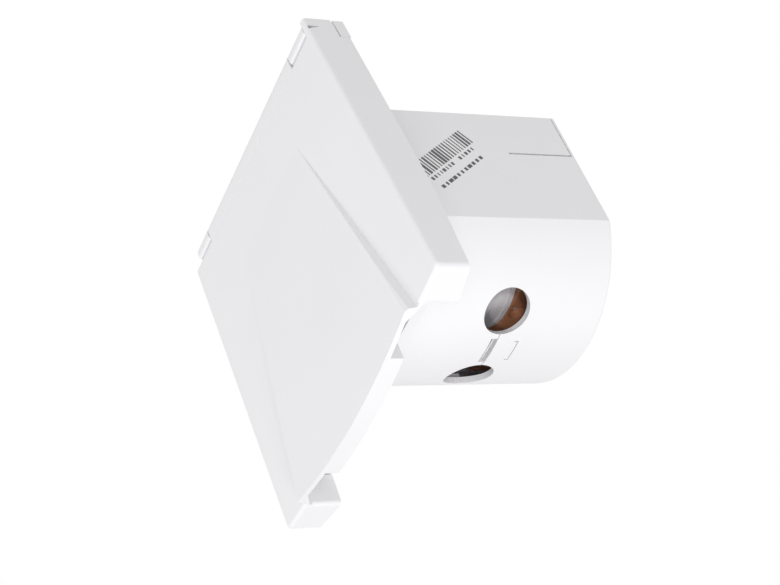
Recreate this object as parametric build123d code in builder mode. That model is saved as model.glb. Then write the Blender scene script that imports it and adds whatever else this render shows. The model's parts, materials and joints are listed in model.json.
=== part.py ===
from build123d import *
from math import asin, cos, degrees, radians, sin, sqrt
import os

os.makedirs("parts", exist_ok=True)

# Frame: X to the right, Y into the wall, Z up; the wall plane is Y = 0

# Lid
LID_WIDTH_BOTTOM = 120.0
LID_WIDTH_TOP = 107.5
LID_HEIGHT = 112.0
SKIRT_DEPTH = 14.0
FACE_WALL = 2.6
SKIRT_WALL = 2.2
SKIRT_WALL_GAP = 0.5
LID_CORNER_R = 2.0
LID_INNER_CORNER_R = 1.0
LID_EDGE_R = 1.2
LID_LEFT_CORNER_R = 1.5

# Raised wedge panel and finger lip of the lid
HOOD_RISE = 3.6
HOOD_TOP_Z = 29.5
HOOD_TOP_HALF = 24.3
HOOD_BOTTOM_HALF = 44.4
HOOD_FOOT_RISE = 2.7
HOOD_FOOT_LEAN = 12.0
HOOD_SIDE_LEAN = 50.0
HOOD_RUN_OUT = 14.0
LIP_BULGE = 4.8
LIP_HEIGHT = 6.0
LIP_GRIP_HALF = 26.0
LIP_WALL = 1.6
LIP_WALL_TURN_X = 39.0

# Corner rails beside the cable exit
CHEEK_X = 45.4
CHEEK_WALL = 2.2
CHEEK_TOP_Z = -44.8
CHEEK_EDGE_R = 1.2
FOOT_RISE = 1.0
RELIEF_DEPTH = 2.6
RELIEF_HEIGHT = 42.0
RELIEF_WIDTH = 19.0

# Hinge
BARREL_R = 2.65
BARREL_CLEARANCE = 0.2
LID_BARREL_HALF = 38.3
KNUCKLE_START = 38.9
RIGHT_KNUCKLE_END = 51.2
LEFT_KNUCKLE_END = 48.9
PIN_R = 1.25
PIN_FIT_BASE = 0.03
PIN_FIT_LID = 0.08
PIN_CAP = 3.2
PIN_END_GAP = 0.4
KNUCKLE_EDGE_R = 1.6
KNUCKLE_POCKET_RUN = 2.6
KNUCKLE_POCKET_LOW = 1.7
SKIRT_HOLE_FRONT = 0.5
SKIRT_HOLE_TOP = 0.2
SKIRT_HOLE_REAR = 4.5
SKIRT_HOLE_TIP = 1.1
SKIRT_HOLE_LOW = 2.3

# Flange of the base frame
FLANGE_THICKNESS = 3.5
FLANGE_BOTTOM_Z = -44.0
FLANGE_SIDE_GAP = 0.6
FLANGE_CORNER_R = 4.0
EAR_HEIGHT = 8.2
EAR_GAP = 0.5
EAR_LOW_GAP = 0.1
EAR_SLOPE = 0.7
EAR_CORNER_R = 0.5
WALL_HOLE_R = 2.25
WALL_HOLE_X = 45.0
WALL_HOLE_Z = 36.0
COUNTERSINK_R = 4.2
COUNTERSINK_DEPTH = 1.8

# Seal behind the flange
GASKET_INSET = 1.2
GASKET_WIDTH = 3.0
GASKET_DEPTH = 1.2
GASKET_FIT = 0.1

# Housing, a box section with a round bottom
HOUSING_WIDTH = 75.0
HOUSING_TOP_Z = 34.5
HOUSING_SIDE_END_Z = -12.5
HOUSING_ARC_R = 43.5
HOUSING_DEPTH = 78.0
HOUSING_WALL = 2.0
HOUSING_TOP_CORNER_R = 0.5
PARTING_Y = 41.6
PARTING_LINE = 0.35
PARTING_LINE_HALF = 13.0
SEAM_Z = 17.0
SEAM_SLIT = 0.8
SEAM_SLIT_START_Y = 52.5
REAR_PLATE = 1.2
REAR_GAP = 0.4
REAR_EDGE_R = 0.8
INNER_LIP_LENGTH = 3.0
INNER_LIP_WALL = 1.2
INNER_LIP_FIT = 0.2
INNER_LIP_HOLE_GAP = 2.0
TOP_TAB_X = 14.0
TOP_TAB_WIDTH = 8.0
TOP_TAB_LENGTH = 7.0
TOP_TAB_HEIGHT = 2.0

# Cable holes and the snap latch between them
CABLE_HOLE_R = 8.15
CABLE_HOLE_X = 15.13
CABLE_CUT = 8.0
LATCH_SLOT_HALF = 5.4
LATCH_SLOT_LENGTH = 2.2
LATCH_TONGUE_HALF = 4.4
LATCH_TONGUE_LENGTH = 8.4
LATCH_RETURN = 1.5
LATCH_LINE = 0.4

# Inlet shroud
INLET_Z = 5.0
SHROUD_BORE_R = 22.2
SHROUD_FRONT_R = 25.2
SHROUD_MIDDLE_R = 23.4
SHROUD_REAR_R = 21.6
SHROUD_BEAD_R = 22.2
SHROUD_POCKET_R = 19.4
SHROUD_RIM_Y = -7.5
SHROUD_RIM_R = 25.5
SHROUD_FLANGE_R = 33.0
SHROUD_FLANGE_FRONT_Y = -6.3
SHROUD_STEP_1_Y = 36.0
SHROUD_STEP_2_Y = 47.0
SHROUD_REAR_Y = 55.0
SHROUD_BEAD_WIDTH = 1.5
SHROUD_FLOOR_Y = 31.0
SHROUD_LEDGE = 2.0
SHROUD_LEDGE_R = 17.5
KEYWAY_HALF = 2.6
KEYWAY_DEPTH = 1.9
KEYWAY_END_Y = 20.0
SHROUD_SEAL = 1.0
SHROUD_OPENING_GAP = 0.7
SHROUD_SCREW_RADIUS = 29.5
SHROUD_SCREW_ANGLE = 35.0
SHROUD_BOSS_R = 3.2
SHROUD_BOSS_END_Y = 9.0

# Screws
SCREW_R = 1.45
SCREW_FIT = 0.05
SCREW_PASS = 0.25
SCREW_HEAD_R = 2.7
SCREW_HEAD = 1.8
SHROUD_SCREW_END_Y = 7.0
SLOT_WIDTH = 0.7
SLOT_DEPTH = 0.7

# Contact insert and terminal block
INSERT_FIT = 0.2
INSERT_REAR_Y = 46.0
BLOCK_GAP = 0.1
BLOCK_NECK_R = 18.9
BLOCK_WIDTH = 59.0
BLOCK_TOP_Z = 28.0
BLOCK_BOTTOM_Z = -17.5
BLOCK_CORNER_R = 2.0
BLOCK_REAR_Y = 64.0
BLOCK_SEAT_Y = 58.0
HEAD_POCKET_GAP = 0.4
CARRIER_SCREW_X = 23.6
CARRIER_BOSS_R = 3.1
CARRIER_BOSS_START_Y = 44.0
CARRIER_SCREW_END_Y = 46.0

# Pins with pillar terminals
PIN_CIRCLE_R = 9.2
PIN_TIP_Y = -3.0
PHASE_PIN_R = 2.5
EARTH_PIN_R = 3.5
PIN_COLLAR = 0.5
PHASE_TERMINAL_R = 4.0
EARTH_TERMINAL_R = 4.5
CONTACT_FIT = 0.1
TERMINAL_REAR_Y = 61.0
WIRE_HOLE_R = 1.7
WIRE_HOLE_LENGTH = 9.0
TERMINAL_SCREW_Y = 58.6
TERMINAL_SCREW_R = 1.2
TERMINAL_SCREW_HEAD_R = 2.4
TERMINAL_SCREW_START = 11.0
TERMINAL_SCREW_HEAD_START = 17.4
TERMINAL_SCREW_HEAD = 2.2
TERMINAL_ACCESS_R = 2.8

# Lid seal
LID_SEAL_INNER_R = 22.8
LID_SEAL_OUTER_R = 26.6
LID_SEAL_GAP = 0.4
SEAL_RIB_WALL = 1.2
SEAL_RIB_HEIGHT = 2.0
SEAL_RIB_FIT = 0.1

# Hook on the lid that holds a connector
HOOK_HALF = 5.0
HOOK_Z = -30.0
HOOK_WALL = 2.4
HOOK_FRONT_Y = -5.5

# Places worked out from the sizes above
LID_TOP_Z = LID_HEIGHT / 2
LID_BOTTOM_Z = -LID_HEIGHT / 2
FACE_Y = -SKIRT_DEPTH
FACE_INNER_Y = FACE_Y + FACE_WALL
SKIRT_REAR_Y = -SKIRT_WALL_GAP
HINGE_Y = FACE_Y + BARREL_R
HINGE_Z = LID_TOP_Z - BARREL_R
EAR_BOTTOM_Z = LID_TOP_Z - EAR_HEIGHT
ARC_Z = HOUSING_SIDE_END_Z + sqrt(HOUSING_ARC_R**2 - (HOUSING_WIDTH / 2) ** 2)
SHROUD_FLANGE_REAR_Y = -FLANGE_THICKNESS - SHROUD_SEAL
REAR_PLATE_Y = HOUSING_DEPTH - REAR_PLATE
CABLE_HOLE_ANGLE = degrees(asin(CABLE_HOLE_X / HOUSING_ARC_R))
INLET_AXIS = Axis((0, 0, INLET_Z), (0, 1, 0))
REACH = 200.0
CUT_RUN = 4.0


def at_depth(y):
    """Sketch plane parallel to the wall at depth y; positive extrusion runs towards the front."""
    return Plane.XZ.offset(-y)


def lid_half(z):
    """Half the lid's outer width at height z."""
    share = (LID_TOP_Z - z) / LID_HEIGHT
    return LID_WIDTH_TOP / 2 + (LID_WIDTH_BOTTOM - LID_WIDTH_TOP) / 2 * share


def lid_outline(inset, bottom, top):
    """Corner points of the lid: slanting sides, and feet that rise outwards from the rails."""
    foot_z = bottom + FOOT_RISE
    foot = lid_half(foot_z) - inset
    rail = CHEEK_X + CHEEK_WALL
    high = lid_half(top) - inset
    return [(-foot, foot_z), (-rail, bottom), (rail, bottom), (foot, foot_z), (high, top), (-high, top)]


def relief_plane(side):
    """Plane that cuts the rear of a lower corner back, facing into the wall."""
    edge_x = side * lid_half(LID_BOTTOM_Z)
    corner = Vector(edge_x, SKIRT_REAR_Y - RELIEF_DEPTH, LID_BOTTOM_Z)
    upper = Vector(edge_x, SKIRT_REAR_Y, LID_BOTTOM_Z + RELIEF_HEIGHT)
    inner = Vector(edge_x - side * RELIEF_WIDTH, SKIRT_REAR_Y, LID_BOTTOM_Z)
    normal = (upper - corner).cross(inner - corner) * -side
    return Plane(origin=corner, z_dir=normal)


def skirt_hole(low):
    """Corner points in Y and Z of the wedge-shaped hole beside the hinge."""
    front_y = FACE_Y + SKIRT_HOLE_FRONT
    return [
        (front_y, HINGE_Z - SKIRT_HOLE_TOP),
        (FACE_Y + SKIRT_HOLE_REAR, HINGE_Z - SKIRT_HOLE_TIP),
        (front_y, HINGE_Z - low),
    ]


def housing_section(inset):
    """Closed outline of the housing, moved inwards by inset."""
    half = HOUSING_WIDTH / 2 - inset
    top = HOUSING_TOP_Z - inset
    arc_r = HOUSING_ARC_R - inset
    side_end = ARC_Z - sqrt(arc_r**2 - half**2)
    with BuildSketch() as section:
        with BuildLine():
            Polyline((half, side_end), (half, top), (-half, top), (-half, side_end))
            ThreePointArc((-half, side_end), (0, ARC_Z - arc_r), (half, side_end))
        make_face()
        corners = section.vertices().group_by(Axis.Y)[-1]
        fillet(corners, radius=HOUSING_TOP_CORNER_R)
    return section.sketch


def radial(angle):
    """Unit direction in the XZ plane; 0 is straight down, positive towards +X."""
    return (sin(radians(angle)), 0, -cos(radians(angle)))


def radial_plane(angle, distance, y, centre_z):
    """Plane square to a radius from an axis along Y at height centre_z."""
    dx, _, dz = radial(angle)
    origin = (dx * distance, y, centre_z + dz * distance)
    return Plane(origin=origin, x_dir=(0, 1, 0), z_dir=(dx, 0, dz))


def pin_place(angle):
    """X and Z of a pin on the pin circle."""
    dx, _, dz = radial(angle)
    return (dx * PIN_CIRCLE_R, INLET_Z + dz * PIN_CIRCLE_R)


PIN_ANGLES = {"line": -120.0, "neutral": 120.0, "earth": 0.0}
PIN_SIZES = {
    "line": (PHASE_PIN_R, PHASE_TERMINAL_R),
    "neutral": (PHASE_PIN_R, PHASE_TERMINAL_R),
    "earth": (EARTH_PIN_R, EARTH_TERMINAL_R),
}
SHROUD_SCREW_PLACES = [
    (
        side * SHROUD_SCREW_RADIUS * cos(radians(SHROUD_SCREW_ANGLE)),
        INLET_Z + way * SHROUD_SCREW_RADIUS * sin(radians(SHROUD_SCREW_ANGLE)),
    )
    for side in (-1, 1)
    for way in (-1, 1)
]
WALL_HOLE_PLACES = [
    (side * WALL_HOLE_X, way * WALL_HOLE_Z) for side in (-1, 1) for way in (-1, 1)
]
CARRIER_SCREW_PLACES = [(-CARRIER_SCREW_X, INLET_Z), (CARRIER_SCREW_X, INLET_Z)]


# Lid: outer block with rounded edges, then hollowed
with BuildPart() as lid:
    with BuildSketch(at_depth(SKIRT_REAR_Y)) as outline:
        with BuildLine():
            Polyline(*lid_outline(0, LID_BOTTOM_Z, LID_TOP_Z), close=True)
        make_face()
        corners = outline.vertices().sort_by(Axis.X)
        fillet([corners[0], corners[-1]], radius=LID_CORNER_R)
    extrude(amount=SKIRT_REAR_Y - FACE_Y)
    front_edges = lid.faces().sort_by(Axis.Y)[0].edges()
    rounded = [e for e in front_edges if e.center().Z < LID_TOP_Z - 0.1]
    fillet(rounded, radius=LID_EDGE_R)
    with BuildSketch(at_depth(1.0)) as hollow:
        with BuildLine():
            Polyline(
                *lid_outline(SKIRT_WALL, LID_BOTTOM_Z + SKIRT_WALL, LID_TOP_Z + CUT_RUN),
                close=True,
            )
        make_face()
        corners = hollow.vertices().sort_by(Axis.X)
        fillet([corners[0], corners[-1]], radius=LID_INNER_CORNER_R)
    extrude(amount=1.0 - FACE_INNER_Y, mode=Mode.SUBTRACT)

    # Cable exit between the corner rails
    with Locations((0, FACE_INNER_Y, LID_BOTTOM_Z - CUT_RUN)):
        Box(
            2 * CHEEK_X,
            REACH,
            CUT_RUN + SKIRT_WALL + LID_INNER_CORNER_R,
            align=(Align.CENTER, Align.MIN, Align.MIN),
            mode=Mode.SUBTRACT,
        )
    for side in (-1, 1):
        with Locations((side * (CHEEK_X + CHEEK_WALL / 2), FACE_INNER_Y, LID_BOTTOM_Z)):
            Box(
                CHEEK_WALL,
                SKIRT_REAR_Y - FACE_INNER_Y,
                CHEEK_TOP_Z - LID_BOTTOM_Z,
                align=(Align.CENTER, Align.MIN, Align.MIN),
            )

    inner_edges = lid.edges().filter_by(Axis.Y).group_by(Axis.Z)[0]
    fillet([e for e in inner_edges if abs(abs(e.center().X) - CHEEK_X) < 0.01], radius=CHEEK_EDGE_R)
    for side in (-1, 1):
        split(bisect_by=relief_plane(side), keep=Keep.BOTTOM)

    # Finger lip with a bowed lower edge
    with BuildSketch(at_depth(FACE_INNER_Y)):
        with BuildLine():
            Polyline(
                (CHEEK_X, LID_BOTTOM_Z),
                (CHEEK_X, LID_BOTTOM_Z + LIP_HEIGHT),
                (-CHEEK_X, LID_BOTTOM_Z + LIP_HEIGHT),
                (-CHEEK_X, LID_BOTTOM_Z),
            )
            ThreePointArc(
                (-CHEEK_X, LID_BOTTOM_Z),
                (0, LID_BOTTOM_Z - LIP_BULGE),
                (CHEEK_X, LID_BOTTOM_Z),
            )
        make_face()
    extrude(amount=FACE_WALL)

# Raised wedge panel: a steep foot under leaning sides, cut to the wedge and to the lip's lower edge
with BuildPart() as hood:
    slope = (HOOD_BOTTOM_HALF - HOOD_TOP_HALF) / (HOOD_TOP_Z - LID_BOTTOM_Z)
    low_z = LID_BOTTOM_Z - HOOD_RUN_OUT
    low_half = HOOD_TOP_HALF + slope * (HOOD_TOP_Z - low_z)
    with BuildSketch(at_depth(FACE_Y)):
        with BuildLine():
            Polyline(
                (-HOOD_TOP_HALF, HOOD_TOP_Z),
                (HOOD_TOP_HALF, HOOD_TOP_Z),
                (low_half, low_z),
                (-low_half, low_z),
                close=True,
            )
        make_face()
    extrude(amount=HOOD_FOOT_RISE, taper=HOOD_FOOT_LEAN)
    extrude(hood.faces().sort_by(Axis.Y)[0], amount=HOOD_RISE, taper=HOOD_SIDE_LEAN)
    rise_rate = HOOD_RISE / (HOOD_TOP_Z - LID_BOTTOM_Z)
    with BuildSketch(Plane.YZ.offset(-REACH / 2)):
        with BuildLine():
            Polyline(
                (FACE_Y, HOOD_TOP_Z),
                (FACE_Y, low_z),
                (FACE_Y - rise_rate * (HOOD_TOP_Z - low_z), low_z),
                close=True,
            )
        make_face()
    extrude(amount=REACH, mode=Mode.INTERSECT)
    with BuildSketch(at_depth(FACE_Y)):
        with BuildLine():
            Polyline(
                (CHEEK_X, LID_BOTTOM_Z),
                (REACH, LID_BOTTOM_Z),
                (REACH, REACH),
                (-REACH, REACH),
                (-REACH, LID_BOTTOM_Z),
                (-CHEEK_X, LID_BOTTOM_Z),
            )
            ThreePointArc(
                (-CHEEK_X, LID_BOTTOM_Z),
                (0, LID_BOTTOM_Z - LIP_BULGE),
                (CHEEK_X, LID_BOTTOM_Z),
            )
        make_face()
    extrude(amount=2 * HOOD_RISE, mode=Mode.INTERSECT)

# Lid: hood, hinge barrel, seal rib, hook and clearances
side_inner = lid_half(LID_TOP_Z) - SKIRT_WALL - 0.1
cut_bottom = HINGE_Z - BARREL_R - BARREL_CLEARANCE
with lid:
    add(hood.part)

    # Thin wall of the lip on both sides of the finger grip
    for side in (-1, 1):
        with BuildSketch(Plane.XY.offset(LID_BOTTOM_Z - LIP_BULGE)):
            with BuildLine():
                Polyline(
                    (side * LIP_GRIP_HALF, FACE_INNER_Y + 0.1),
                    (side * LIP_GRIP_HALF, FACE_Y - HOOD_RISE + LIP_WALL),
                    (side * LIP_WALL_TURN_X, FACE_Y - HOOD_RISE + LIP_WALL),
                    (side * CHEEK_X, FACE_Y + LIP_WALL),
                    (side * CHEEK_X, FACE_INNER_Y + 0.1),
                    close=True,
                )
            make_face()
        extrude(amount=LIP_BULGE + LIP_HEIGHT + 1.0, mode=Mode.SUBTRACT)

    # Room for the knuckles at the top corners; the right side of the skirt covers its knuckle's end
    with BuildSketch(Plane.YZ.offset(-REACH / 2)):
        with BuildLine():
            Polyline(
                (FACE_Y - 1.0, cut_bottom),
                (HINGE_Y, cut_bottom),
                (HINGE_Y, LID_TOP_Z + 1.0),
                (FACE_Y - 1.0, LID_TOP_Z + 1.0),
                close=True,
            )
        make_face()
        with Locations((HINGE_Y, HINGE_Z)):
            Circle(BARREL_R + BARREL_CLEARANCE)
    extrude(amount=REACH / 2 + side_inner, mode=Mode.SUBTRACT)
    left_corner = (-lid_half(cut_bottom), FACE_Y, cut_bottom)
    left_edge = lid.edges().filter_by(Axis.Y).sort_by_distance(left_corner)[0]
    fillet(left_edge, radius=LID_LEFT_CORNER_R)
    with BuildSketch(Plane.YZ.offset(side_inner)):
        with BuildLine():
            Polyline(*skirt_hole(SKIRT_HOLE_LOW), close=True)
        make_face()
    extrude(amount=REACH, mode=Mode.SUBTRACT)

    # Room for the square knuckle fronts while the lid swings
    with BuildSketch(Plane.YZ.offset(-side_inner)):
        with Locations((HINGE_Y, HINGE_Z)):
            Circle(sqrt(2) * (BARREL_R - KNUCKLE_EDGE_R) + KNUCKLE_EDGE_R + BARREL_CLEARANCE)
    extrude(amount=2 * side_inner, mode=Mode.SUBTRACT)

    # Room for the ears of the base frame, with the skirt's top corner sloped to swing clear
    with BuildSketch(Plane.YZ.offset(-REACH / 2)):
        with BuildLine():
            Polyline(
                (-FLANGE_THICKNESS - EAR_GAP, EAR_BOTTOM_Z - EAR_LOW_GAP),
                (1.0, EAR_BOTTOM_Z - EAR_LOW_GAP),
                (1.0, LID_TOP_Z + 1.0),
                (-FLANGE_THICKNESS - EAR_GAP - EAR_SLOPE, LID_TOP_Z + 1.0),
                (-FLANGE_THICKNESS - EAR_GAP, HINGE_Z),
                close=True,
            )
        make_face()
    extrude(amount=REACH, mode=Mode.SUBTRACT)

    # Middle barrel, joined to the face
    with BuildSketch(Plane.YZ.offset(-LID_BARREL_HALF)):
        with Locations((HINGE_Y, HINGE_Z)):
            Circle(BARREL_R)
        with BuildLine():
            Polyline(
                (FACE_Y, cut_bottom - 1.0),
                (FACE_INNER_Y, cut_bottom - 1.0),
                (HINGE_Y + 1.0, HINGE_Z - 1.0),
                (HINGE_Y, HINGE_Z),
                (FACE_Y, HINGE_Z),
                close=True,
            )
        make_face()
    extrude(amount=2 * LID_BARREL_HALF)
    with BuildSketch(Plane.YZ.offset(-REACH / 2)):
        with Locations((HINGE_Y, HINGE_Z)):
            Circle(PIN_R + PIN_FIT_LID)
    extrude(amount=REACH / 2 + side_inner, mode=Mode.SUBTRACT)

    # Rib that centres the seal, and the connector hook
    with BuildSketch(at_depth(FACE_INNER_Y + SEAL_RIB_HEIGHT)):
        with Locations((0, INLET_Z)):
            Circle(LID_SEAL_OUTER_R + SEAL_RIB_FIT + SEAL_RIB_WALL)
            Circle(LID_SEAL_OUTER_R + SEAL_RIB_FIT, mode=Mode.SUBTRACT)
    extrude(amount=SEAL_RIB_HEIGHT)
    with Locations((0, FACE_INNER_Y, HOOK_Z)):
        Box(
            2 * HOOK_HALF,
            HOOK_FRONT_Y - FACE_INNER_Y,
            HOOK_WALL,
            align=(Align.CENTER, Align.MIN, Align.CENTER),
        )
lid.part.label = "lid"

# Soft ring held in the lid
with BuildPart() as lid_seal:
    with BuildSketch(at_depth(SHROUD_RIM_Y - LID_SEAL_GAP)):
        with Locations((0, INLET_Z)):
            Circle(LID_SEAL_OUTER_R)
            Circle(LID_SEAL_INNER_R, mode=Mode.SUBTRACT)
    extrude(amount=SHROUD_RIM_Y - LID_SEAL_GAP - FACE_INNER_Y)
lid_seal.part.label = "lid_seal"

# Base frame: flange with ears
with BuildPart() as base_frame:
    flange_low = lid_half(FLANGE_BOTTOM_Z) - SKIRT_WALL - FLANGE_SIDE_GAP
    flange_high = lid_half(EAR_BOTTOM_Z) - SKIRT_WALL - FLANGE_SIDE_GAP
    ear_low = lid_half(EAR_BOTTOM_Z)
    ear_high = lid_half(LID_TOP_Z)
    with BuildSketch(at_depth(0)) as flange:
        with BuildLine():
            Polyline(
                (-flange_low, FLANGE_BOTTOM_Z),
                (flange_low, FLANGE_BOTTOM_Z),
                (flange_high, EAR_BOTTOM_Z),
                (ear_low, EAR_BOTTOM_Z),
                (ear_high, LID_TOP_Z),
                (-ear_high, LID_TOP_Z),
                (-ear_low, EAR_BOTTOM_Z),
                (-flange_high, EAR_BOTTOM_Z),
                close=True,
            )
        make_face()
        fillet(flange.vertices().group_by(Axis.Y)[0], radius=FLANGE_CORNER_R)
        fillet(flange.vertices().group_by(Axis.Y)[-1], radius=EAR_CORNER_R)
    extrude(amount=FLANGE_THICKNESS)

    # Front part of the housing, and its upper part that runs to the rear plate
    with BuildSketch(at_depth(PARTING_Y)):
        add(housing_section(0))
    extrude(amount=PARTING_Y)
    with BuildSketch(at_depth(REAR_PLATE_Y - REAR_GAP)):
        add(housing_section(0))
        with Locations((0, SEAM_Z - REACH / 2)):
            Rectangle(REACH, REACH, mode=Mode.SUBTRACT)
    extrude(amount=REAR_PLATE_Y - REAR_GAP - PARTING_Y)
    with BuildSketch(at_depth(HOUSING_DEPTH)):
        add(housing_section(HOUSING_WALL))
    extrude(amount=HOUSING_DEPTH, mode=Mode.SUBTRACT)

    # Bosses for the shroud's screws, and the round opening
    with BuildSketch(at_depth(SHROUD_BOSS_END_Y)):
        with Locations(*SHROUD_SCREW_PLACES):
            Circle(SHROUD_BOSS_R)
    extrude(amount=SHROUD_BOSS_END_Y)
    with BuildSketch(at_depth(SHROUD_BOSS_END_Y)):
        with Locations(*SHROUD_SCREW_PLACES):
            Circle(SCREW_R + SCREW_FIT)
    extrude(amount=SHROUD_BOSS_END_Y + FLANGE_THICKNESS, mode=Mode.SUBTRACT)
    with BuildSketch(at_depth(SHROUD_BOSS_END_Y)):
        with Locations((0, INLET_Z)):
            Circle(SHROUD_FRONT_R + SHROUD_OPENING_GAP)
    extrude(amount=SHROUD_BOSS_END_Y + FLANGE_THICKNESS, mode=Mode.SUBTRACT)

    # Wall screw holes with countersinks
    with BuildSketch(at_depth(0)):
        with Locations(*WALL_HOLE_PLACES):
            Circle(WALL_HOLE_R)
    extrude(amount=FLANGE_THICKNESS, mode=Mode.SUBTRACT)
    for x, z in WALL_HOLE_PLACES:
        with Locations(Location((x, -FLANGE_THICKNESS + COUNTERSINK_DEPTH / 2, z), (90, 0, 0))):
            Cone(WALL_HOLE_R, COUNTERSINK_R, COUNTERSINK_DEPTH, mode=Mode.SUBTRACT)

    # Groove for the wall seal
    with BuildSketch(at_depth(0)):
        add(housing_section(-GASKET_INSET - GASKET_WIDTH))
        add(housing_section(-GASKET_INSET), mode=Mode.SUBTRACT)
    extrude(amount=GASKET_DEPTH, mode=Mode.SUBTRACT)

    # Hinge knuckles on webs, square at the lower front so that they lie flush with the lid
    for start, end in (
        (KNUCKLE_START, RIGHT_KNUCKLE_END),
        (-LEFT_KNUCKLE_END, -KNUCKLE_START),
    ):
        with BuildSketch(Plane.YZ.offset(start)):
            with Locations((HINGE_Y, HINGE_Z)):
                Circle(BARREL_R)
        extrude(amount=end - start)
        with BuildSketch(Plane.YZ.offset(start)) as front_block:
            with Locations((HINGE_Y, HINGE_Z)):
                Rectangle(BARREL_R, BARREL_R, align=(Align.MAX, Align.MAX))
            corner = front_block.vertices().sort_by_distance((FACE_Y, HINGE_Z - BARREL_R))[0]
            fillet(corner, radius=KNUCKLE_EDGE_R)
        extrude(amount=end - start)
        with BuildSketch(Plane.YZ.offset(start)):
            with Locations((HINGE_Y, HINGE_Z)):
                Rectangle(
                    -FLANGE_THICKNESS - HINGE_Y,
                    2 * BARREL_R,
                    align=(Align.MIN, Align.CENTER),
                )
        extrude(amount=end - start)
    with BuildSketch(Plane.YZ.offset(-LEFT_KNUCKLE_END)):
        with Locations((HINGE_Y, HINGE_Z)):
            Circle(PIN_R + PIN_FIT_BASE)
    extrude(amount=LEFT_KNUCKLE_END + RIGHT_KNUCKLE_END - PIN_CAP, mode=Mode.SUBTRACT)
    with BuildSketch(Plane.YZ.offset(RIGHT_KNUCKLE_END)):
        with BuildLine():
            Polyline(*skirt_hole(KNUCKLE_POCKET_LOW), close=True)
        make_face()
    extrude(amount=-KNUCKLE_POCKET_RUN, mode=Mode.SUBTRACT)

    # Cable holes and the latch slot
    for side in (-1, 1):
        with BuildSketch(radial_plane(side * CABLE_HOLE_ANGLE, HOUSING_ARC_R, PARTING_Y, ARC_Z)):
            Circle(CABLE_HOLE_R)
        extrude(amount=CABLE_CUT, both=True, mode=Mode.SUBTRACT)
    with Locations((0, PARTING_Y - LATCH_SLOT_LENGTH, ARC_Z - HOUSING_ARC_R)):
        Box(
            2 * LATCH_SLOT_HALF,
            REACH,
            4 * HOUSING_WALL,
            align=(Align.CENTER, Align.MIN, Align.CENTER),
            mode=Mode.SUBTRACT,
        )
base_frame.part.label = "base_frame"

# Seal in the groove behind the flange
with BuildPart() as wall_gasket:
    with BuildSketch(at_depth(0)):
        add(housing_section(-GASKET_INSET - GASKET_WIDTH + GASKET_FIT))
        add(housing_section(-GASKET_INSET - GASKET_FIT), mode=Mode.SUBTRACT)
    extrude(amount=GASKET_DEPTH)
wall_gasket.part.label = "wall_gasket"

# Lip of the rear cover that enters the base frame, kept away from the cable holes
with BuildPart() as inner_lip:
    with BuildSketch(at_depth(PARTING_Y + INNER_LIP_LENGTH)):
        add(housing_section(HOUSING_WALL + INNER_LIP_FIT))
        add(housing_section(HOUSING_WALL + INNER_LIP_FIT + INNER_LIP_WALL), mode=Mode.SUBTRACT)
    extrude(amount=2 * INNER_LIP_LENGTH)
    with BuildSketch(at_depth(PARTING_Y + INNER_LIP_LENGTH)):
        add(housing_section(HOUSING_WALL - 0.5))
        add(housing_section(HOUSING_WALL + INNER_LIP_FIT + 0.2), mode=Mode.SUBTRACT)
    extrude(amount=INNER_LIP_LENGTH)
    with Locations((0, PARTING_Y, SEAM_Z - 1.0)):
        Box(
            REACH,
            REACH,
            REACH,
            align=(Align.CENTER, Align.CENTER, Align.MIN),
            mode=Mode.SUBTRACT,
        )
    for side in (-1, 1):
        with BuildSketch(radial_plane(side * CABLE_HOLE_ANGLE, HOUSING_ARC_R, PARTING_Y, ARC_Z)):
            Circle(CABLE_HOLE_R + INNER_LIP_HOLE_GAP)
        extrude(amount=CABLE_CUT, both=True, mode=Mode.SUBTRACT)

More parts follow.
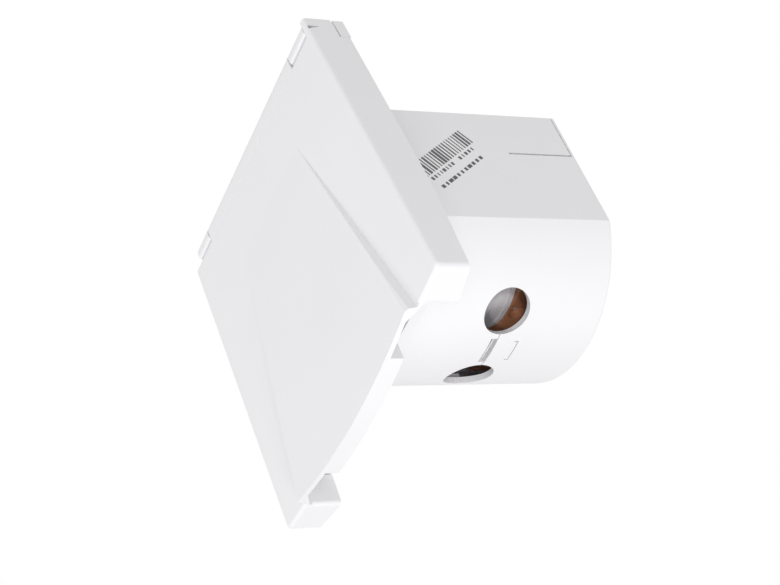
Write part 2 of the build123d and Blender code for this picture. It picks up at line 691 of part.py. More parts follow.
# Rear cover: lower shell, rear plate and lip
with BuildPart() as rear_cover:
    with BuildSketch(at_depth(HOUSING_DEPTH)):
        add(housing_section(0))
    extrude(amount=HOUSING_DEPTH - PARTING_Y)
    rear_edges = rear_cover.faces().sort_by(Axis.Y)[-1].edges()
    fillet(rear_edges, radius=REAR_EDGE_R)
    with BuildSketch(at_depth(REAR_PLATE_Y)):
        add(housing_section(HOUSING_WALL))
    extrude(amount=REACH, mode=Mode.SUBTRACT)
    with Locations((0, REAR_PLATE_Y, SEAM_Z)):
        Box(
            REACH,
            REACH,
            REACH,
            align=(Align.CENTER, Align.MAX, Align.MIN),
            mode=Mode.SUBTRACT,
        )
    with Locations((0, REAR_PLATE_Y, SEAM_Z - SEAM_SLIT)):
        Box(
            REACH,
            REAR_PLATE_Y - SEAM_SLIT_START_Y,
            REACH,
            align=(Align.CENTER, Align.MAX, Align.MIN),
            mode=Mode.SUBTRACT,
        )
    add(inner_lip.part)

    # Tabs under the top wall of the base frame
    for side in (-1, 1):
        with Locations((side * TOP_TAB_X, REAR_PLATE_Y, HOUSING_TOP_Z - HOUSING_WALL - INNER_LIP_FIT)):
            Box(
                TOP_TAB_WIDTH,
                TOP_TAB_LENGTH,
                TOP_TAB_HEIGHT,
                align=(Align.CENTER, Align.MAX, Align.MAX),
            )

    # Cable holes, latch slot and the line around the snap tongue
    for side in (-1, 1):
        with BuildSketch(radial_plane(side * CABLE_HOLE_ANGLE, HOUSING_ARC_R, PARTING_Y, ARC_Z)):
            Circle(CABLE_HOLE_R)
        extrude(amount=CABLE_CUT, both=True, mode=Mode.SUBTRACT)
    with Locations((0, PARTING_Y, ARC_Z - HOUSING_ARC_R)):
        Box(
            2 * LATCH_SLOT_HALF,
            REACH,
            6 * HOUSING_WALL,
            align=(Align.CENTER, Align.MAX, Align.CENTER),
            mode=Mode.SUBTRACT,
        )
        Box(
            2 * PARTING_LINE_HALF,
            PARTING_LINE,
            2 * HOUSING_WALL,
            align=(Align.CENTER, Align.MIN, Align.CENTER),
            mode=Mode.SUBTRACT,
        )
    tongue_end = PARTING_Y + LATCH_TONGUE_LENGTH
    with Locations((0, tongue_end, ARC_Z - HOUSING_ARC_R)):
        Box(
            2 * LATCH_TONGUE_HALF,
            LATCH_LINE,
            4 * HOUSING_WALL,
            align=(Align.CENTER, Align.MAX, Align.CENTER),
            mode=Mode.SUBTRACT,
        )
    for side in (-1, 1):
        with Locations(
            (side * (LATCH_TONGUE_HALF - LATCH_LINE / 2), tongue_end, ARC_Z - HOUSING_ARC_R)
        ):
            Box(
                LATCH_LINE,
                LATCH_RETURN,
                4 * HOUSING_WALL,
                align=(Align.CENTER, Align.MAX, Align.CENTER),
                mode=Mode.SUBTRACT,
            )
rear_cover.part.label = "rear_cover"

# Inlet shroud: turned profile, then screw bosses, holes and keyway
with BuildPart() as inlet_shroud:
    with BuildSketch(Plane.YZ):
        with BuildLine():
            Polyline(
                (SHROUD_RIM_Y, INLET_Z + SHROUD_BORE_R),
                (SHROUD_RIM_Y, INLET_Z + SHROUD_RIM_R),
                (SHROUD_FLANGE_FRONT_Y, INLET_Z + SHROUD_RIM_R),
                (SHROUD_FLANGE_FRONT_Y, INLET_Z + SHROUD_FLANGE_R),
                (SHROUD_FLANGE_REAR_Y, INLET_Z + SHROUD_FLANGE_R),
                (SHROUD_FLANGE_REAR_Y, INLET_Z + SHROUD_FRONT_R),
                (SHROUD_STEP_1_Y, INLET_Z + SHROUD_FRONT_R),
                (SHROUD_STEP_1_Y, INLET_Z + SHROUD_MIDDLE_R),
                (SHROUD_STEP_2_Y, INLET_Z + SHROUD_MIDDLE_R),
                (SHROUD_STEP_2_Y, INLET_Z + SHROUD_REAR_R),
                (SHROUD_REAR_Y - SHROUD_BEAD_WIDTH, INLET_Z + SHROUD_REAR_R),
                (SHROUD_REAR_Y - SHROUD_BEAD_WIDTH, INLET_Z + SHROUD_BEAD_R),
                (SHROUD_REAR_Y, INLET_Z + SHROUD_BEAD_R),
                (SHROUD_REAR_Y, INLET_Z + SHROUD_POCKET_R),
                (SHROUD_FLOOR_Y + SHROUD_LEDGE, INLET_Z + SHROUD_POCKET_R),
                (SHROUD_FLOOR_Y + SHROUD_LEDGE, INLET_Z + SHROUD_LEDGE_R),
                (SHROUD_FLOOR_Y, INLET_Z + SHROUD_LEDGE_R),
                (SHROUD_FLOOR_Y, INLET_Z + SHROUD_BORE_R),
                close=True,
            )
        make_face()
    revolve(axis=INLET_AXIS)
    with BuildSketch(at_depth(SHROUD_REAR_Y)):
        with Locations(*CARRIER_SCREW_PLACES):
            Circle(CARRIER_BOSS_R)
        with Locations((0, INLET_Z)):
            Circle(SHROUD_POCKET_R + 0.5, mode=Mode.SUBTRACT)
    extrude(amount=SHROUD_REAR_Y - CARRIER_BOSS_START_Y)
    with BuildSketch(at_depth(SHROUD_REAR_Y)):
        with Locations(*CARRIER_SCREW_PLACES):
            Circle(SCREW_R + SCREW_FIT)
    extrude(amount=SHROUD_REAR_Y - CARRIER_SCREW_END_Y + 0.5, mode=Mode.SUBTRACT)
    with BuildSketch(at_depth(SHROUD_FLANGE_REAR_Y)):
        with Locations(*SHROUD_SCREW_PLACES):
            Circle(SCREW_R + SCREW_PASS)
    extrude(amount=REACH, mode=Mode.SUBTRACT)
    with Locations((0, SHROUD_RIM_Y - 1.0, INLET_Z - SHROUD_BORE_R)):
        Box(
            2 * KEYWAY_HALF,
            KEYWAY_END_Y - SHROUD_RIM_Y + 1.0,
            2 * KEYWAY_DEPTH,
            align=(Align.CENTER, Align.MIN, Align.CENTER),
            mode=Mode.SUBTRACT,
        )
inlet_shroud.part.label = "inlet_shroud"

# Seal under the shroud's flange
with BuildPart() as shroud_seal:
    with BuildSketch(at_depth(-FLANGE_THICKNESS)):
        with Locations((0, INLET_Z)):
            Circle(SHROUD_FLANGE_R)
            Circle(SHROUD_FRONT_R + SHROUD_OPENING_GAP, mode=Mode.SUBTRACT)
        with Locations(*SHROUD_SCREW_PLACES):
            Circle(SCREW_R + SCREW_PASS, mode=Mode.SUBTRACT)
    extrude(amount=SHROUD_SEAL)
shroud_seal.part.label = "shroud_seal"

# Screws through the shroud's flange
with BuildPart() as shroud_screws:
    with BuildSketch(at_depth(SHROUD_SCREW_END_Y)):
        with Locations(*SHROUD_SCREW_PLACES):
            Circle(SCREW_R)
    extrude(amount=SHROUD_SCREW_END_Y - SHROUD_FLANGE_FRONT_Y)
    with BuildSketch(at_depth(SHROUD_FLANGE_FRONT_Y)):
        with Locations(*SHROUD_SCREW_PLACES):
            Circle(SCREW_HEAD_R)
    extrude(amount=SCREW_HEAD)
    for x, z in SHROUD_SCREW_PLACES:
        with Locations((x, SHROUD_FLANGE_FRONT_Y - SCREW_HEAD, z)):
            Box(2 * SCREW_HEAD_R, 2 * SLOT_DEPTH, SLOT_WIDTH, mode=Mode.SUBTRACT)
            Box(SLOT_WIDTH, 2 * SLOT_DEPTH, 1.2 * SCREW_HEAD_R, mode=Mode.SUBTRACT)
shroud_screws.part.label = "shroud_screws"

# Contact insert
with BuildPart() as contact_insert:
    with BuildSketch(at_depth(INSERT_REAR_Y)):
        with Locations((0, INLET_Z)):
            Circle(SHROUD_POCKET_R - INSERT_FIT)
    extrude(amount=INSERT_REAR_Y - SHROUD_FLOOR_Y - SHROUD_LEDGE - INSERT_FIT)
    with BuildSketch(at_depth(INSERT_REAR_Y)):
        with Locations((0, INLET_Z)):
            Circle(SHROUD_LEDGE_R - INSERT_FIT)
    extrude(amount=INSERT_REAR_Y - SHROUD_FLOOR_Y)
    for name, angle in PIN_ANGLES.items():
        with BuildSketch(at_depth(INSERT_REAR_Y)):
            with Locations(pin_place(angle)):
                Circle(PIN_SIZES[name][0] + PIN_COLLAR + CONTACT_FIT)
        extrude(amount=REACH, mode=Mode.SUBTRACT)
contact_insert.part.label = "contact_insert"

# Terminal block: a neck in the shroud's pocket and a wide body behind the shroud's rear rim
with BuildPart() as terminal_block:
    with BuildSketch(at_depth(BLOCK_REAR_Y)):
        with Locations((0, INLET_Z)):
            Circle(BLOCK_NECK_R)
    extrude(amount=BLOCK_REAR_Y - INSERT_REAR_Y - BLOCK_GAP)
    with BuildSketch(at_depth(BLOCK_REAR_Y)):
        with Locations((0, BLOCK_BOTTOM_Z)):
            RectangleRounded(
                BLOCK_WIDTH,
                BLOCK_TOP_Z - BLOCK_BOTTOM_Z,
                BLOCK_CORNER_R,
                align=(Align.CENTER, Align.MIN),
            )
    extrude(amount=BLOCK_REAR_Y - SHROUD_REAR_Y - BLOCK_GAP)
    for name, angle in PIN_ANGLES.items():
        with BuildSketch(at_depth(BLOCK_REAR_Y)):
            with Locations(pin_place(angle)):
                Circle(PIN_SIZES[name][1] + CONTACT_FIT)
        extrude(amount=REACH, mode=Mode.SUBTRACT)
        with BuildSketch(radial_plane(angle, PIN_CIRCLE_R, TERMINAL_SCREW_Y, INLET_Z)):
            Circle(TERMINAL_ACCESS_R)
        extrude(amount=REACH, mode=Mode.SUBTRACT)
    with BuildSketch(at_depth(BLOCK_REAR_Y)):
        with Locations(*CARRIER_SCREW_PLACES):
            Circle(SCREW_HEAD_R + HEAD_POCKET_GAP)
    extrude(amount=BLOCK_REAR_Y - BLOCK_SEAT_Y, mode=Mode.SUBTRACT)
    with BuildSketch(at_depth(BLOCK_REAR_Y)):
        with Locations(*CARRIER_SCREW_PLACES):
            Circle(SCREW_R + SCREW_PASS)
    extrude(amount=REACH, mode=Mode.SUBTRACT)
terminal_block.part.label = "terminal_block"

# Screws that hold the block to the shroud
with BuildPart() as carrier_screws:
    with BuildSketch(at_depth(BLOCK_SEAT_Y)):
        with Locations(*CARRIER_SCREW_PLACES):
            Circle(SCREW_R)
    extrude(amount=BLOCK_SEAT_Y - CARRIER_SCREW_END_Y)
    with BuildSketch(at_depth(BLOCK_SEAT_Y + SCREW_HEAD)):
        with Locations(*CARRIER_SCREW_PLACES):
            Circle(SCREW_HEAD_R)
    extrude(amount=SCREW_HEAD)
    for x, z in CARRIER_SCREW_PLACES:
        with Locations((x, BLOCK_SEAT_Y + SCREW_HEAD, z)):
            Box(2 * SCREW_HEAD_R, 2 * SLOT_DEPTH, SLOT_WIDTH, mode=Mode.SUBTRACT)
            Box(SLOT_WIDTH, 2 * SLOT_DEPTH, 1.2 * SCREW_HEAD_R, mode=Mode.SUBTRACT)
carrier_screws.part.label = "carrier_screws"


def contact_pin(name):
    """Pin with a rounded tip and a pillar terminal at its rear end."""
    angle = PIN_ANGLES[name]
    pin_r, terminal_r = PIN_SIZES[name]
    place = pin_place(angle)
    shoulder = INSERT_REAR_Y + BLOCK_GAP
    with BuildPart() as pin:
        with BuildSketch(at_depth(TERMINAL_REAR_Y)):
            with Locations(place):
                Circle(pin_r)
        extrude(amount=TERMINAL_REAR_Y - PIN_TIP_Y)
        fillet(pin.edges().sort_by(Axis.Y)[0], radius=0.7 * pin_r)
        with BuildSketch(at_depth(TERMINAL_REAR_Y)):
            with Locations(place):
                Circle(pin_r + PIN_COLLAR)
        extrude(amount=TERMINAL_REAR_Y - SHROUD_FLOOR_Y)
        with BuildSketch(at_depth(TERMINAL_REAR_Y)):
            with Locations(place):
                Circle(terminal_r)
        extrude(amount=TERMINAL_REAR_Y - shoulder)
        with BuildSketch(at_depth(TERMINAL_REAR_Y)):
            with Locations(place):
                Circle(WIRE_HOLE_R)
        extrude(amount=WIRE_HOLE_LENGTH, mode=Mode.SUBTRACT)
        with BuildSketch(radial_plane(angle, PIN_CIRCLE_R, TERMINAL_SCREW_Y, INLET_Z)):
            Circle(TERMINAL_SCREW_R + SCREW_FIT)
        extrude(amount=REACH, mode=Mode.SUBTRACT)
    return pin.part


line_pin = contact_pin("line")
line_pin.label = "line_pin"
neutral_pin = contact_pin("neutral")
neutral_pin.label = "neutral_pin"
earth_pin = contact_pin("earth")
earth_pin.label = "earth_pin"

# Terminal screws, reached through the block's side
with BuildPart() as terminal_screws:
    for angle in PIN_ANGLES.values():
        with BuildSketch(radial_plane(angle, TERMINAL_SCREW_START, TERMINAL_SCREW_Y, INLET_Z)):
            Circle(TERMINAL_SCREW_R)
        extrude(amount=TERMINAL_SCREW_HEAD_START - TERMINAL_SCREW_START)
        with BuildSketch(radial_plane(angle, TERMINAL_SCREW_HEAD_START, TERMINAL_SCREW_Y, INLET_Z)):
            Circle(TERMINAL_SCREW_HEAD_R)
        extrude(amount=TERMINAL_SCREW_HEAD)
        slot_place = TERMINAL_SCREW_HEAD_START + TERMINAL_SCREW_HEAD - SLOT_DEPTH
        with BuildSketch(radial_plane(angle, slot_place, TERMINAL_SCREW_Y, INLET_Z)):
            Rectangle(SLOT_WIDTH, 3 * TERMINAL_SCREW_HEAD_R)
        extrude(amount=2 * SLOT_DEPTH, mode=Mode.SUBTRACT)
terminal_screws.part.label = "terminal_screws"

# Hinge pin
with BuildPart() as hinge_pin:
    pin_start = -LEFT_KNUCKLE_END + PIN_END_GAP
    with BuildSketch(Plane.YZ.offset(pin_start)):
        with Locations((HINGE_Y, HINGE_Z)):
            Circle(PIN_R)
    extrude(amount=RIGHT_KNUCKLE_END - PIN_CAP - PIN_END_GAP - pin_start)
hinge_pin.part.label = "hinge_pin"

export_step(lid.part, "parts/lid.step")
export_step(lid_seal.part, "parts/lid_seal.step")
export_step(base_frame.part, "parts/base_frame.step")
export_step(wall_gasket.part, "parts/wall_gasket.step")
export_step(rear_cover.part, "parts/rear_cover.step")
export_step(inlet_shroud.part, "parts/inlet_shroud.step")
export_step(shroud_seal.part, "parts/shroud_seal.step")
export_step(shroud_screws.part, "parts/shroud_screws.step")
export_step(contact_insert.part, "parts/contact_insert.step")
export_step(terminal_block.part, "parts/terminal_block.step")
export_step(carrier_screws.part, "parts/carrier_screws.step")
export_step(line_pin, "parts/line_pin.step")
export_step(neutral_pin, "parts/neutral_pin.step")
export_step(earth_pin, "parts/earth_pin.step")
export_step(terminal_screws.part, "parts/terminal_screws.step")
export_step(hinge_pin.part, "parts/hinge_pin.step")
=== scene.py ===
"""Flush mount mains inlet box with a hinged lid: its looks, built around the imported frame."""
import json
from math import cos, radians, sin

import bpy
from mathutils import Matrix, Vector


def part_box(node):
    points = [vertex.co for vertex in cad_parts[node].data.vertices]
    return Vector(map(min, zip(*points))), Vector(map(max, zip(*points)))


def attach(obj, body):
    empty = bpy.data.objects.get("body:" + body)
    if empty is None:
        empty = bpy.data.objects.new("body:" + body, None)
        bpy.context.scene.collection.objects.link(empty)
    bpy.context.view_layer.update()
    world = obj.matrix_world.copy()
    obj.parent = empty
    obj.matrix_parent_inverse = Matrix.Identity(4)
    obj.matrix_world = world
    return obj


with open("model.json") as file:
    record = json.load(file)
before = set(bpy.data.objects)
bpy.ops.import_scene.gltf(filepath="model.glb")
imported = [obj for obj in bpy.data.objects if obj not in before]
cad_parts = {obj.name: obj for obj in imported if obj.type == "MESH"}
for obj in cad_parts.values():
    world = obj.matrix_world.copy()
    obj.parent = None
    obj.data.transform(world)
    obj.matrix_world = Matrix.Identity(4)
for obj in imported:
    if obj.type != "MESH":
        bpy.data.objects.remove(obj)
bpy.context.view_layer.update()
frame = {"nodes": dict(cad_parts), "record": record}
nodes = frame["nodes"]
scene = bpy.context.scene

MM = 0.001

# Camera that matches the photograph, worked out from the box's own edges: its place in metres, its turn
# in degrees, lens and sensor in millimetres
CAMERA_PLACE = (0.43842, -0.33686, -0.41848)
CAMERA_TURN = (128.755, 19.896, 66.539)
CAMERA_LENS = 102.73
SENSOR_WIDTH = 36.0
CAMERA_NEAR = 0.01

# Printed marks on the housing's right wall, in millimetres and degrees
MARKS_CORNER_Y = 16.8
MARKS_CORNER_Z = 11.6
MARKS_TURN = 35.2
BAR_HEIGHT = 6.3
DASH_HEIGHT = 1.3
INK_SINK = 0.04
INK_PROUD = 0.03

# Studio, in metres, and the world's level of soft light
FLOOR_Z = -1.1
FLOOR_HALF = 4.0
AMBIENT = 0.64

# Beam of the narrow lamp: how far in front of the cable hole's mount it aims in millimetres, its full
# angle in degrees, the soft share of its edge, and the radius of its source in metres
BEAM_LEAD = 0.7
BEAM_ANGLE = 1.0
BEAM_BLEND = 0.5
BEAM_SOURCE = 0.001

# Numbers of the sockets that share their name with others on the node
MIX_FIRST = 6
MIX_SECOND = 7
MIX_COLOUR = 2
RANDOM_LEAST = 2
RANDOM_MOST = 3
RANDOM_FLOAT = 1


def linear(code):
    """An sRGB hex colour as linear RGBA."""
    parts = [int(code[i:i + 2], 16) / 255 for i in (1, 3, 5)]
    return tuple(c / 12.92 if c <= 0.04045 else ((c + 0.055) / 1.055) ** 2.4 for c in parts) + (1.0,)


def add(tree, kind, settings=None, inputs=None):
    """Add a node with its settings, and with values or links on its inputs."""
    node = tree.nodes.new(kind)
    for name, value in (settings or {}).items():
        setattr(node, name, value)
    for key, value in (inputs or {}).items():
        if isinstance(value, bpy.types.NodeSocket):
            tree.links.new(value, node.inputs[key])
        else:
            node.inputs[key].default_value = value
    return node


def finish_material(name):
    """An empty material with its node tree and the object's own coordinates."""
    material = bpy.data.materials.new(name)
    material.use_nodes = True
    tree = material.node_tree
    tree.nodes.clear()
    coords = add(tree, "ShaderNodeTexCoord").outputs["Object"]
    return material, tree, coords


def close_material(tree, shader):
    """Send a shader to the output."""
    add(tree, "ShaderNodeOutputMaterial", inputs={"Surface": shader.outputs["BSDF"]})


def moulded_white_abs():
    """White ABS, injection moulded in a fine-etched tool: satin, with a faintly uneven gloss."""
    material, tree, coords = finish_material("moulded white ABS")
    # Flow of the melt leaves the white very slightly uneven over about 30 mm
    flow = add(tree, "ShaderNodeTexNoise", inputs={
        "Vector": coords, "Scale": 1 / (30 * MM), "Detail": 2.0})
    tint = add(tree, "ShaderNodeMix", {"data_type": "RGBA"}, {
        "Factor": flow.outputs["Fac"], MIX_FIRST: linear("#EFEEF0"), MIX_SECOND: linear("#F3F2F4")})
    # The etched grain is about 0.1 mm; drawn at 0.5 mm so that it shows
    grain = add(tree, "ShaderNodeTexNoise", inputs={
        "Vector": coords, "Scale": 1 / (0.5 * MM), "Detail": 3.0, "Roughness": 0.6})
    gloss = add(tree, "ShaderNodeMapRange", inputs={
        "Value": grain.outputs["Fac"], "To Min": 0.34, "To Max": 0.46})
    bump = add(tree, "ShaderNodeBump", inputs={
        "Strength": 0.05, "Distance": 0.02 * MM, "Height": grain.outputs["Fac"]})
    shader = add(tree, "ShaderNodeBsdfPrincipled", inputs={
        "Base Color": tint.outputs[MIX_COLOUR], "Roughness": gloss.outputs["Result"], "IOR": 1.53,
        "Normal": bump.outputs["Normal"]})
    close_material(tree, shader)
    return material


def moulded_grey_polyamide():
    """Light grey glass-filled polyamide: satin, with faint streaks of filler."""
    material, tree, coords = finish_material("moulded grey polyamide")
    # Streaks of filler are about 4 mm across
    streak = add(tree, "ShaderNodeTexNoise", inputs={
        "Vector": coords, "Scale": 1 / (4 * MM), "Detail": 6.0, "Roughness": 0.65})
    tint = add(tree, "ShaderNodeMix", {"data_type": "RGBA"}, {
        "Factor": streak.outputs["Fac"], MIX_FIRST: linear("#C8C5C8"), MIX_SECOND: linear("#D4D1D4")})
    gloss = add(tree, "ShaderNodeMapRange", inputs={
        "Value": streak.outputs["Fac"], "To Min": 0.38, "To Max": 0.55})
    # Moulded edges are rounded to about 0.2 mm and catch the light
    edge = add(tree, "ShaderNodeBevel", {"samples": 4}, {"Radius": 0.2 * MM})
    bump = add(tree, "ShaderNodeBump", inputs={
        "Strength": 0.08, "Distance": 0.03 * MM, "Height": streak.outputs["Fac"],
        "Normal": edge.outputs["Normal"]})
    shader = add(tree, "ShaderNodeBsdfPrincipled", inputs={
        "Base Color": tint.outputs[MIX_COLOUR], "Roughness": gloss.outputs["Result"], "IOR": 1.53,
        "Normal": bump.outputs["Normal"]})
    close_material(tree, shader)
    return material


def pressed_brown_thermoset():
    """Brown phenolic thermoset, pressed with wood-flour filler: speckled and softly glossy."""
    material, tree, coords = finish_material("pressed brown thermoset")
    # Specks of filler are about 0.2 mm; drawn at 0.9 mm so that they show
    speck = add(tree, "ShaderNodeTexNoise", inputs={
        "Vector": coords, "Scale": 1 / (0.9 * MM), "Detail": 4.0, "Roughness": 0.7})
    # The brown and its gloss drift over about 9 mm
    cloud = add(tree, "ShaderNodeTexNoise", inputs={
        "Vector": coords, "Scale": 1 / (9 * MM), "Detail": 2.0})
    dark = add(tree, "ShaderNodeMix", {"data_type": "RGBA"}, {
        "Factor": speck.outputs["Fac"], MIX_FIRST: linear("#9A6145"), MIX_SECOND: linear("#B47C5C")})
    tint = add(tree, "ShaderNodeMix", {"data_type": "RGBA"}, {
        "Factor": cloud.outputs["Fac"], MIX_FIRST: dark.outputs[MIX_COLOUR], MIX_SECOND: linear("#A87050")})
    gloss = add(tree, "ShaderNodeMapRange", inputs={
        "Value": cloud.outputs["Fac"], "To Min": 0.28, "To Max": 0.45})
    # Pressed edges are rounded to about 0.2 mm
    edge = add(tree, "ShaderNodeBevel", {"samples": 4}, {"Radius": 0.2 * MM})
    bump = add(tree, "ShaderNodeBump", inputs={
        "Strength": 0.1, "Distance": 0.03 * MM, "Height": speck.outputs["Fac"],
        "Normal": edge.outputs["Normal"]})
    shader = add(tree, "ShaderNodeBsdfPrincipled", inputs={
        "Base Color": tint.outputs[MIX_COLOUR], "Roughness": gloss.outputs["Result"], "IOR": 1.58,
        "Normal": bump.outputs["Normal"]})
    close_material(tree, shader)
    return material


def cut_black_rubber():
    """Black EPDM rubber, cut from moulded sheet: dull, with a fine pebble and a little bloom."""
    material, tree, coords = finish_material("cut black rubber")
    # The sheet's pebble is about 0.8 mm, and the bloom drifts over about 7 mm
    pebble = add(tree, "ShaderNodeTexVoronoi", inputs={"Vector": coords, "Scale": 1 / (0.8 * MM)})
    bloom = add(tree, "ShaderNodeTexNoise", inputs={
        "Vector": coords, "Scale": 1 / (7 * MM), "Detail": 3.0})
    tint = add(tree, "ShaderNodeMix", {"data_type": "RGBA"}, {
        "Factor": bloom.outputs["Fac"], MIX_FIRST: linear("#1E1E1F"), MIX_SECOND: linear("#2C2C2D")})
    bump = add(tree, "ShaderNodeBump", inputs={
        "Strength": 0.2, "Distance": 0.04 * MM, "Height": pebble.outputs["Distance"]})
    shader = add(tree, "ShaderNodeBsdfPrincipled", inputs={
        "Base Color": tint.outputs[MIX_COLOUR], "Roughness": 0.82, "IOR": 1.52,
        "Normal": bump.outputs["Normal"]})
    close_material(tree, shader)
    return material


def turned_metal(name, light, dark, stretch, rough):
    """Turned or drawn metal: fine tool lines that run the way the coordinates are stretched."""
    material, tree, coords = finish_material(name)
    # Tool lines are about 0.1 mm apart; drawn at 0.4 mm so that they show
    stretched = add(tree, "ShaderNodeMapping", inputs={"Vector": coords, "Scale": stretch})
    lines = add(tree, "ShaderNodeTexNoise", inputs={
        "Vector": stretched.outputs["Vector"], "Scale": 1 / (0.4 * MM), "Detail": 3.0})
    # Tarnish drifts over about 5 mm
    tarnish = add(tree, "ShaderNodeTexNoise", inputs={
        "Vector": coords, "Scale": 1 / (5 * MM), "Detail": 4.0})
    tint = add(tree, "ShaderNodeMix", {"data_type": "RGBA"}, {
        "Factor": tarnish.outputs["Fac"], MIX_FIRST: linear(light), MIX_SECOND: linear(dark)})
    gloss = add(tree, "ShaderNodeMapRange", inputs={
        "Value": lines.outputs["Fac"], "To Min": rough - 0.06, "To Max": rough + 0.08})
    bump = add(tree, "ShaderNodeBump", inputs={
        "Strength": 0.12, "Distance": 0.02 * MM, "Height": lines.outputs["Fac"]})
    shader = add(tree, "ShaderNodeBsdfPrincipled", inputs={
        "Base Color": tint.outputs[MIX_COLOUR], "Metallic": 1.0, "Roughness": gloss.outputs["Result"],
        "Normal": bump.outputs["Normal"]})
    close_material(tree, shader)
    return material


def printed_black_ink():
    """Black ink on a smooth wall: matte, a little thin and uneven."""
    material, tree, coords = finish_material("printed black ink")
    # Thin spots in the ink are about 0.5 mm
    thin = add(tree, "ShaderNodeTexNoise", inputs={
        "Vector": coords, "Scale": 1 / (0.5 * MM), "Detail": 2.0})
    tint = add(tree, "ShaderNodeMix", {"data_type": "RGBA"}, {
        "Factor": thin.outputs["Fac"], MIX_FIRST: linear("#4A494B"), MIX_SECOND: linear("#6E6D6F")})
    shader = add(tree, "ShaderNodeBsdfPrincipled", inputs={
        "Base Color": tint.outputs[MIX_COLOUR], "Roughness": 0.6})
    close_material(tree, shader)
    return material


def painted_pale_floor():
    """Pale matt paint on a studio floor: almost even, and dull."""
    material, tree, coords = finish_material("pale matt floor")
    # The paint drifts over about a third of a metre
    mottle = add(tree, "ShaderNodeTexNoise", inputs={
        "Vector": coords, "Scale": 1 / (333 * MM), "Detail": 2.0})
    tint = add(tree, "ShaderNodeMix", {"data_type": "RGBA"}, {
        "Factor": mottle.outputs["Fac"], MIX_FIRST: linear("#F1F1F1"), MIX_SECOND: linear("#F5F5F5")})
    shader = add(tree, "ShaderNodeBsdfPrincipled", inputs={
        "Base Color": tint.outputs[MIX_COLOUR], "Roughness": 0.9})
    close_material(tree, shader)
    return material


def row_of_marks_tree(ink):
    """Geometry nodes for a row of flat printed bars of uneven width."""
    tree = bpy.data.node_groups.new("row of printed bars", "GeometryNodeTree")
    sizes = {"Count": "NodeSocketInt", "Pitch": "NodeSocketFloat", "Narrowest": "NodeSocketFloat",
             "Widest": "NodeSocketFloat", "Height": "NodeSocketFloat", "Thickness": "NodeSocketFloat",
             "Seed": "NodeSocketInt"}
    for name, kind in sizes.items():
        tree.interface.new_socket(name, in_out="INPUT", socket_type=kind)
    tree.interface.new_socket("Geometry", in_out="OUTPUT", socket_type="NodeSocketGeometry")
    given = add(tree, "NodeGroupInput").outputs
    step = add(tree, "ShaderNodeCombineXYZ", inputs={"X": given["Pitch"]})
    places = add(tree, "GeometryNodeMeshLine", {"mode": "OFFSET"}, {
        "Count": given["Count"], "Offset": step.outputs["Vector"]})
    width = add(tree, "FunctionNodeRandomValue", {"data_type": "FLOAT"}, {
        RANDOM_LEAST: given["Narrowest"], RANDOM_MOST: given["Widest"], "Seed": given["Seed"]})
    size = add(tree, "ShaderNodeCombineXYZ", inputs={
        "X": width.outputs[RANDOM_FLOAT], "Y": given["Height"], "Z": given["Thickness"]})
    bar = add(tree, "GeometryNodeMeshCube")
    bars = add(tree, "GeometryNodeInstanceOnPoints", inputs={
        "Points": places.outputs["Mesh"], "Instance": bar.outputs["Mesh"], "Scale": size.outputs["Vector"]})
    solid = add(tree, "GeometryNodeRealizeInstances", inputs={"Geometry": bars.outputs["Instances"]})
    inked = add(tree, "GeometryNodeSetMaterial", inputs={
        "Geometry": solid.outputs["Geometry"], "Material": ink})
    add(tree, "NodeGroupOutput", inputs={"Geometry": inked.outputs["Geometry"]})
    return tree


def row_of_marks(name, tree, along, down, count, pitch, widths, height, seed):
    """One row of marks, in millimetres: a plain mesh that lies on the right wall and rides on the base."""
    maker = bpy.data.objects.new(name + "_maker", bpy.data.meshes.new(name + "_maker"))
    scene.collection.objects.link(maker)
    modifier = maker.modifiers.new("row", "NODES")
    modifier.node_group = tree
    narrowest, widest = widths
    sizes = {"Count": count, "Pitch": pitch * MM, "Narrowest": narrowest * MM, "Widest": widest * MM,
             "Height": height * MM, "Thickness": (INK_PROUD + INK_SINK) * MM, "Seed": seed}
    keys = {item.name: item.identifier for item in tree.interface.items_tree if item.in_out == "INPUT"}
    for key, value in sizes.items():
        modifier[keys[key]] = value
    graph = bpy.context.evaluated_depsgraph_get()
    mesh = bpy.data.meshes.new_from_object(maker.evaluated_get(graph))
    bpy.data.objects.remove(maker)
    turn = radians(MARKS_TURN)
    along_wall = Vector((0, cos(turn), sin(turn)))
    up_wall = Vector((0, -sin(turn), cos(turn)))
    out = Vector((1, 0, 0))
    corner = Vector((wall_x, MARKS_CORNER_Y * MM, MARKS_CORNER_Z * MM))
    place = corner + along_wall * along * MM - up_wall * down * MM + out * (INK_PROUD - INK_SINK) / 2 * MM
    turned = Matrix((along_wall, up_wall, out)).transposed().to_4x4()
    mesh.transform(Matrix.Translation(place) @ turned)
    mesh.name = name
    marks = bpy.data.objects.new(name, mesh)
    scene.collection.objects.link(marks)
    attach(marks, "base")


def aim_lamp(data, place, target):
    """Put a lamp in the scene, aimed at a point."""
    lamp = bpy.data.objects.new(data.name, data)
    lamp.location = place
    lamp.rotation_euler = (Vector(target) - Vector(place)).to_track_quat("-Z", "Y").to_euler()
    scene.collection.objects.link(lamp)


def soft_lamp(name, place, target, size, power):
    """A square soft box aimed at a point."""
    data = bpy.data.lights.new(name, "AREA")
    data.shape = "SQUARE"
    data.size = size
    data.energy = power
    aim_lamp(data, place, target)


def narrow_lamp(name, place, target, power):
    """A spot whose beam is narrower than the hole that it shines into."""
    data = bpy.data.lights.new(name, "SPOT")
    data.spot_size = radians(BEAM_ANGLE)
    data.spot_blend = BEAM_BLEND
    data.shadow_soft_size = BEAM_SOURCE
    data.energy = power
    aim_lamp(data, place, target)


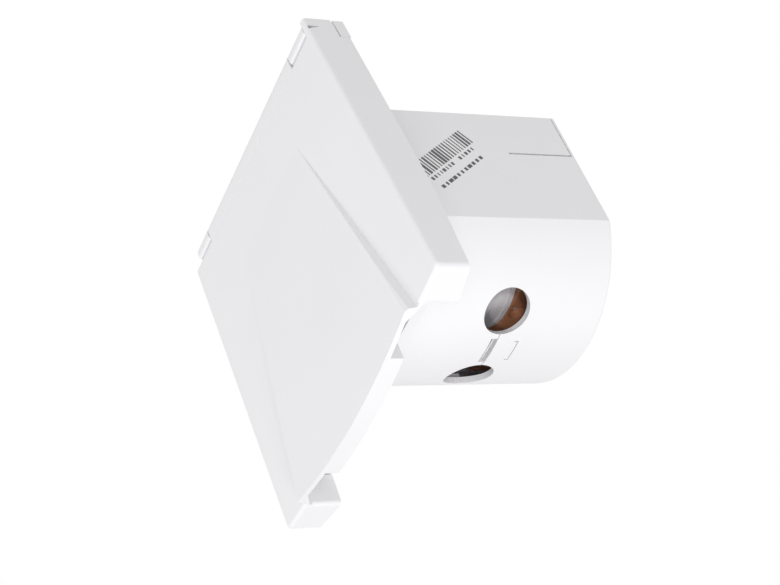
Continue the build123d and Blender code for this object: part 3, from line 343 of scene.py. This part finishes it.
# Finishes on the frame's own pieces
white_abs = moulded_white_abs()
grey_polyamide = moulded_grey_polyamide()
brown_thermoset = pressed_brown_thermoset()
black_rubber = cut_black_rubber()
turned_brass = turned_metal(
    "turned brass", light="#D9C48A", dark="#C4A765", stretch=(0.2, 1.0, 0.2), rough=0.24)
zinc_steel = turned_metal(
    "zinc plated steel", light="#C9CBCF", dark="#B4B7BD", stretch=(1.0, 0.3, 1.0), rough=0.32)
drawn_steel = turned_metal(
    "drawn steel", light="#BFC0C2", dark="#A5A7AA", stretch=(0.1, 1.0, 1.0), rough=0.28)
finishes = {
    "lid": white_abs,
    "base_frame": white_abs,
    "rear_cover": white_abs,
    "inlet_shroud": grey_polyamide,
    "contact_insert": grey_polyamide,
    "terminal_block": brown_thermoset,
    "lid_seal": black_rubber,
    "wall_gasket": black_rubber,
    "shroud_seal": black_rubber,
    "line_pin": turned_brass,
    "neutral_pin": turned_brass,
    "earth_pin": turned_brass,
    "shroud_screws": zinc_steel,
    "carrier_screws": zinc_steel,
    "terminal_screws": zinc_steel,
    "hinge_pin": drawn_steel,
}
for node_name, finish in finishes.items():
    slots = nodes[node_name].data.materials
    slots.clear()
    slots.append(finish)

# Plain printed marks: a row of bars and two rows of dashes, with nothing to read
wall_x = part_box("rear_cover")[1][0]
ink_rows = row_of_marks_tree(printed_black_ink())
row_of_marks("printed_bars", ink_rows, along=-3.8, down=BAR_HEIGHT / 2,
             count=20, pitch=1.5, widths=(0.35, 1.25), height=BAR_HEIGHT, seed=4)
row_of_marks("printed_dashes_upper_left", ink_rows, along=-2.8, down=7.8,
             count=8, pitch=1.75, widths=(0.4, 1.3), height=DASH_HEIGHT, seed=7)
row_of_marks("printed_dashes_upper_right", ink_rows, along=14.2, down=7.8,
             count=5, pitch=1.9, widths=(0.4, 1.3), height=DASH_HEIGHT, seed=12)
row_of_marks("printed_dashes_lower", ink_rows, along=-2.6, down=11.9,
             count=11, pitch=2.35, widths=(0.9, 2.1), height=DASH_HEIGHT, seed=9)

# Pale floor well below the box, which hangs on a wall
floor_mesh = bpy.data.meshes.new("pale_floor")
floor_mesh.from_pydata(
    [(-FLOOR_HALF, -FLOOR_HALF, FLOOR_Z), (FLOOR_HALF, -FLOOR_HALF, FLOOR_Z),
     (FLOOR_HALF, FLOOR_HALF, FLOOR_Z), (-FLOOR_HALF, FLOOR_HALF, FLOOR_Z)], [], [(0, 1, 2, 3)])
floor_mesh.materials.append(painted_pale_floor())
floor = bpy.data.objects.new("pale_floor", floor_mesh)
scene.collection.objects.link(floor)

# World: white to the camera and in reflections, a plain level of soft light otherwise
world = bpy.data.worlds.new("white studio")
world.use_nodes = True
scene.world = world
sky = world.node_tree
sky.nodes.clear()
rays = add(sky, "ShaderNodeLightPath").outputs
seen = add(sky, "ShaderNodeMath", {"operation": "MAXIMUM"}, {
    0: rays["Is Camera Ray"], 1: rays["Is Glossy Ray"]})
shown = add(sky, "ShaderNodeMath", {"operation": "MAXIMUM"}, {
    0: seen.outputs["Value"], 1: rays["Is Transmission Ray"]})
soft = add(sky, "ShaderNodeBackground", inputs={"Color": (1, 1, 1, 1), "Strength": AMBIENT})
white = add(sky, "ShaderNodeBackground", inputs={"Color": (1, 1, 1, 1), "Strength": 1.0})
both = add(sky, "ShaderNodeMixShader", inputs={
    0: shown.outputs["Value"], 1: soft.outputs["Background"], 2: white.outputs["Background"]})
add(sky, "ShaderNodeOutputWorld", inputs={"Surface": both.outputs["Shader"]})

# Weak soft boxes add to the level of the world
soft_lamp("soft box under the camera", place=(0.28, -0.22, -0.71), target=(0, 0.02, 0), size=0.25, power=2.3)
soft_lamp("soft box beside the camera", place=(0.74, -0.58, -0.67), target=(0, 0.02, 0), size=0.25, power=1.0)
soft_lamp("soft box below", place=(0.0, 0.32, -0.55), target=(0, 0.04, -0.03), size=0.5, power=0.45)
soft_lamp("soft box in front", place=(-0.35, -0.75, -0.05), target=(0, 0, 0), size=0.7, power=1.4)

# A narrow lamp at the lens lights what is seen through the right cable hole
cable_hole = next(mount for mount in frame["record"]["mounts"] if mount["name"] == "cable_hole_right")
beam_target = Vector(cable_hole["pos_m"]) + Vector(cable_hole["axis"]) * BEAM_LEAD * MM
narrow_lamp("narrow lamp at the lens", place=CAMERA_PLACE, target=beam_target, power=8.0)

# Camera
camera_data = bpy.data.cameras.new("photograph view")
camera_data.lens = CAMERA_LENS
camera_data.sensor_width = SENSOR_WIDTH
camera_data.sensor_fit = "HORIZONTAL"
camera_data.clip_start = CAMERA_NEAR
camera = bpy.data.objects.new("photograph view", camera_data)
camera.location = CAMERA_PLACE
camera.rotation_euler = [radians(turn) for turn in CAMERA_TURN]
scene.collection.objects.link(camera)
scene.camera = camera

scene.view_settings.view_transform = "Standard"
